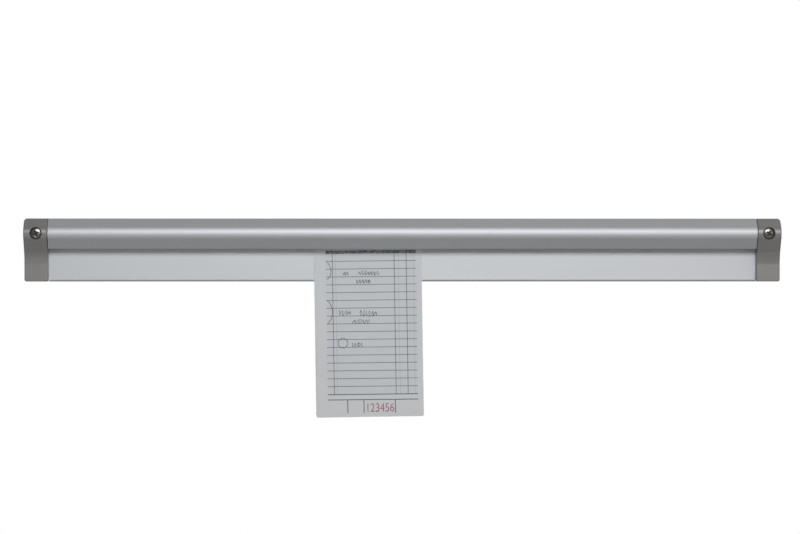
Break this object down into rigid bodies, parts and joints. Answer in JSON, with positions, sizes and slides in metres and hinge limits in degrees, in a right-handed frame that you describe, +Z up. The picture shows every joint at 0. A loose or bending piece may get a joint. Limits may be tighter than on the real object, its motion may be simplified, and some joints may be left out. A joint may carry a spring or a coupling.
{
  "type": "order ticket rail",
  "caption": "Wall-mounted rail that grips paper order tickets between a back plate and loose rollers held in its hood.",
  "frame": {"origin": "centre of the profile's back face, on the wall", "axes": "+X along the rail to the right as seen from the front, +Y into the wall, +Z up"},
  "size_m": [0.61, 0.037, 0.1609],
  "materials": {
    "anodised_aluminium": "satin anodised",
    "cap_paint": "satin paint on a zinc casting",
    "screw_steel": "bright zinc plated",
    "nylon": "natural nylon",
    "ticket_paper": "uncoated paper with a ruled form"
  },
  "bodies": {
    "rail": {"rail_extrusion": "anodised_aluminium", "left_end_cap": "cap_paint", "right_end_cap": "cap_paint", "left_mounting_screw": "screw_steel", "right_mounting_screw": "screw_steel"},
    "roller_01": {"roller_01": "nylon"},
    "roller_02": {"roller_02": "nylon"},
    "roller_03": {"roller_03": "nylon"},
    "roller_04": {"roller_04": "nylon"},
    "roller_05": {"roller_05": "nylon"},
    "roller_06": {"roller_06": "nylon"},
    "roller_07": {"roller_07": "nylon"},
    "roller_08": {"roller_08": "nylon"},
    "roller_09": {"roller_09": "nylon"},
    "roller_10": {"roller_10": "nylon"},
    "roller_11": {"roller_11": "nylon"},
    "roller_12": {"roller_12": "nylon"},
    "roller_13": {"roller_13": "nylon"},
    "roller_14": {"roller_14": "nylon"},
    "ticket": {"order_ticket": "ticket_paper"}
  },
  "joints": [
    {"name": "roller_01_lift", "type": "slide", "parent": "rail", "child": "roller_01", "axis": [0, -0.5878, 0.809], "range_m": [0, 0.0055]},
    {"name": "roller_02_lift", "type": "slide", "parent": "rail", "child": "roller_02", "axis": [0, -0.5878, 0.809], "range_m": [0, 0.0055]},
    {"name": "roller_03_lift", "type": "slide", "parent": "rail", "child": "roller_03", "axis": [0, -0.5878, 0.809], "range_m": [0, 0.0055]},
    {"name": "roller_04_lift", "type": "slide", "parent": "rail", "child": "roller_04", "axis": [0, -0.5878, 0.809], "range_m": [0, 0.0055]},
    {"name": "roller_05_lift", "type": "slide", "parent": "rail", "child": "roller_05", "axis": [0, -0.5878, 0.809], "range_m": [0, 0.0055]},
    {"name": "roller_06_lift", "type": "slide", "parent": "rail", "child": "roller_06", "axis": [0, -0.5878, 0.809], "range_m": [0, 0.0055]},
    {"name": "roller_07_lift", "type": "slide", "parent": "rail", "child": "roller_07", "axis": [0, -0.5878, 0.809], "range_m": [0, 0.0055]},
    {"name": "roller_08_lift", "type": "slide", "parent": "rail", "child": "roller_08", "axis": [0, -0.5878, 0.809], "range_m": [0, 0.0055]},
    {"name": "roller_09_lift", "type": "slide", "parent": "rail", "child": "roller_09", "axis": [0, -0.5878, 0.809], "range_m": [0, 0.0055]},
    {"name": "roller_10_lift", "type": "slide", "parent": "rail", "child": "roller_10", "axis": [0, -0.5878, 0.809], "range_m": [0, 0.0055]},
    {"name": "roller_11_lift", "type": "slide", "parent": "rail", "child": "roller_11", "axis": [0, -0.5878, 0.809], "range_m": [0, 0.0055]},
    {"name": "roller_12_lift", "type": "slide", "parent": "rail", "child": "roller_12", "axis": [0, -0.5878, 0.809], "range_m": [0, 0.0055]},
    {"name": "roller_13_lift", "type": "slide", "parent": "rail", "child": "roller_13", "axis": [0, -0.5878, 0.809], "range_m": [0, 0.0055]},
    {"name": "roller_14_lift", "type": "slide", "parent": "rail", "child": "roller_14", "axis": [0, -0.5878, 0.809], "range_m": [0, 0.0055]},
    {"name": "ticket_pull", "type": "slide", "parent": "rail", "child": "ticket", "axis": [0, 0, -1], "range_m": [0, 0.05]}
  ]
}
